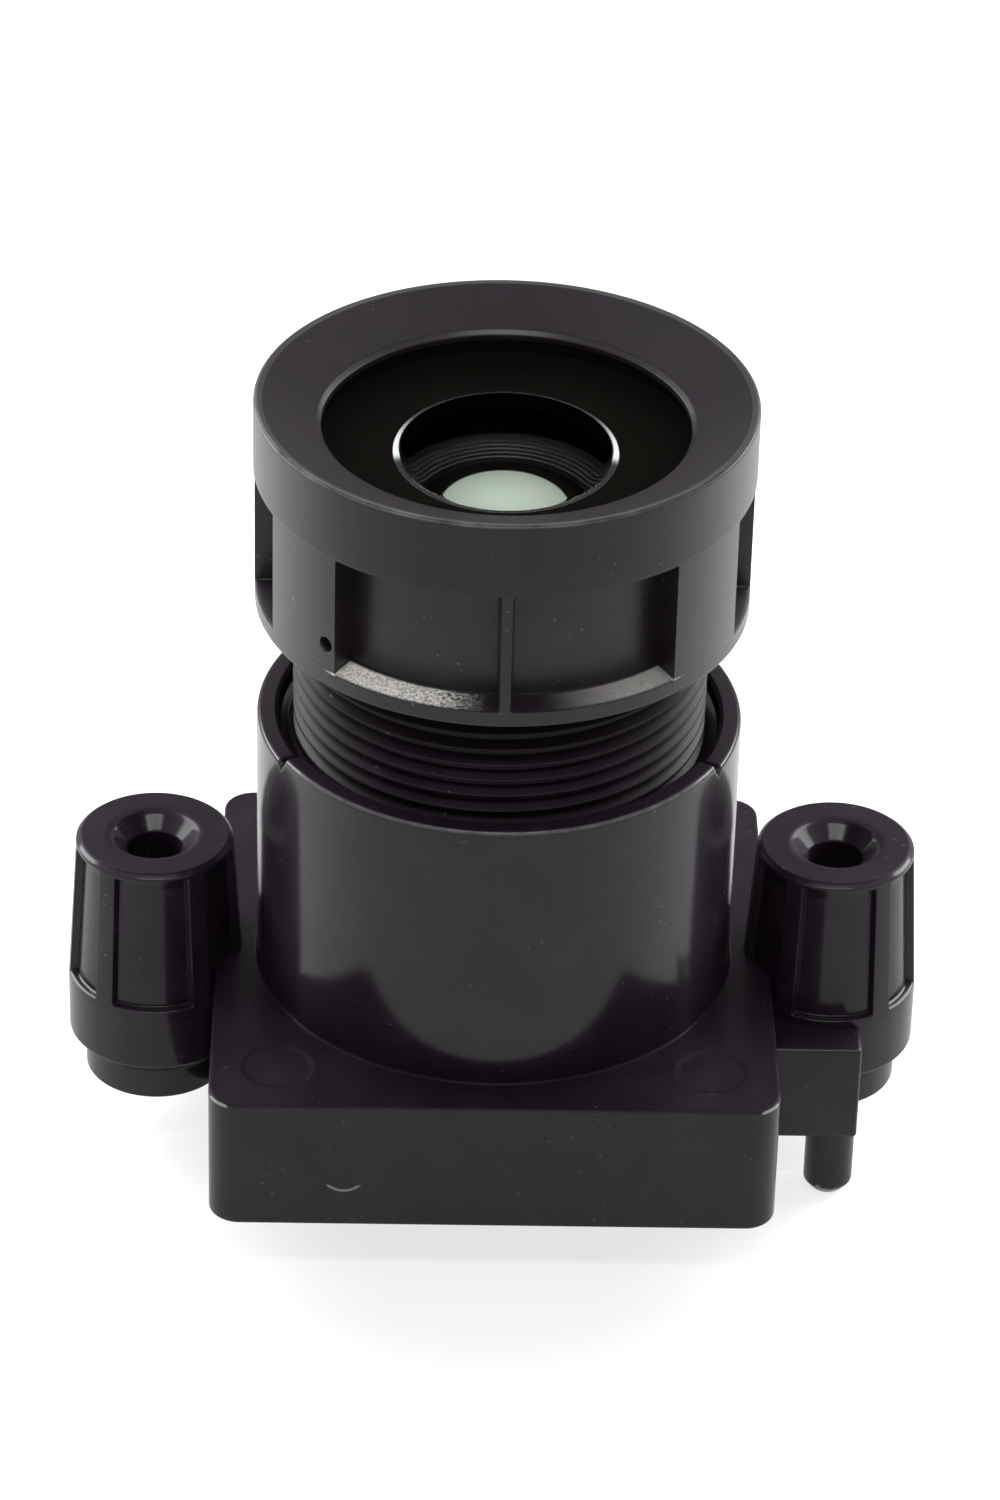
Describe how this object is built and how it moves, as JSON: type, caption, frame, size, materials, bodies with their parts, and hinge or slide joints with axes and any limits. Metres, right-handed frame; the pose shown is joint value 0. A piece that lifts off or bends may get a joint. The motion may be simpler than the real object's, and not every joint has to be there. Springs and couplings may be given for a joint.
{
  "type": "board camera lens in screw-down holder",
  "caption": "Wide-angle board camera lens on a fine focusing thread, screwed into a black moulded holder with a square base and side screw posts over the image sensor.",
  "frame": {"origin": "on the optical axis, in the plane where the holder's base and posts meet the circuit board", "axes": "+Z along the optical axis, out through the front glass; +X along the line through the two screw posts; -Y is the front in the picture"},
  "size_m": [0.0252, 0.0164, 0.025],
  "materials": {
    "holder_plastic": "fine moulded texture, low sheen",
    "lens_plastic": "fine moulded texture, slight sheen",
    "cap_plastic": "smooth satin side, matte dished bezel",
    "coated_glass": "polished, with a green anti-reflection coating",
    "filter_glass": "polished, with a pale blue-green infrared coating",
    "black_film": "dead matte",
    "black_anodised": "matte black anodised",
    "seal_rubber": "matte",
    "adhesive": "cured, waxy"
  },
  "bodies": {
    "holder": {"lens_holder": "holder_plastic", "ir_cut_filter": "filter_glass", "filter_bond": "adhesive"},
    "seal_ring": {"front_seal": "seal_rubber"},
    "lens": {"lens_barrel": "lens_plastic", "front_cap": "cap_plastic", "front_element": "coated_glass", "front_shield": "black_film", "second_element": "coated_glass", "spacer_ring_a": "black_anodised", "aperture_stop": "black_film", "third_element": "coated_glass", "spacer_ring_b": "black_anodised", "crown_element": "coated_glass", "flint_element": "coated_glass", "rear_shield": "black_film", "spacer_ring_c": "black_anodised", "rear_element": "coated_glass", "rear_retainer": "black_anodised"}
  },
  "joints": [
    {"name": "focus_travel", "type": "slide", "parent": "holder", "child": "seal_ring", "axis": [0, 0, 1], "range_m": [-0.00325, 0.0025]},
    {"name": "focus_turn", "type": "hinge", "parent": "seal_ring", "child": "lens", "pos_m": [0, 0, 0.0163], "axis": [0, 0, 1], "range_deg": [-2341, 1801]}
  ],
  "couplings": [
    {"joint": "focus_turn", "follows": "focus_travel", "rad_per_m": 12566}
  ]
}
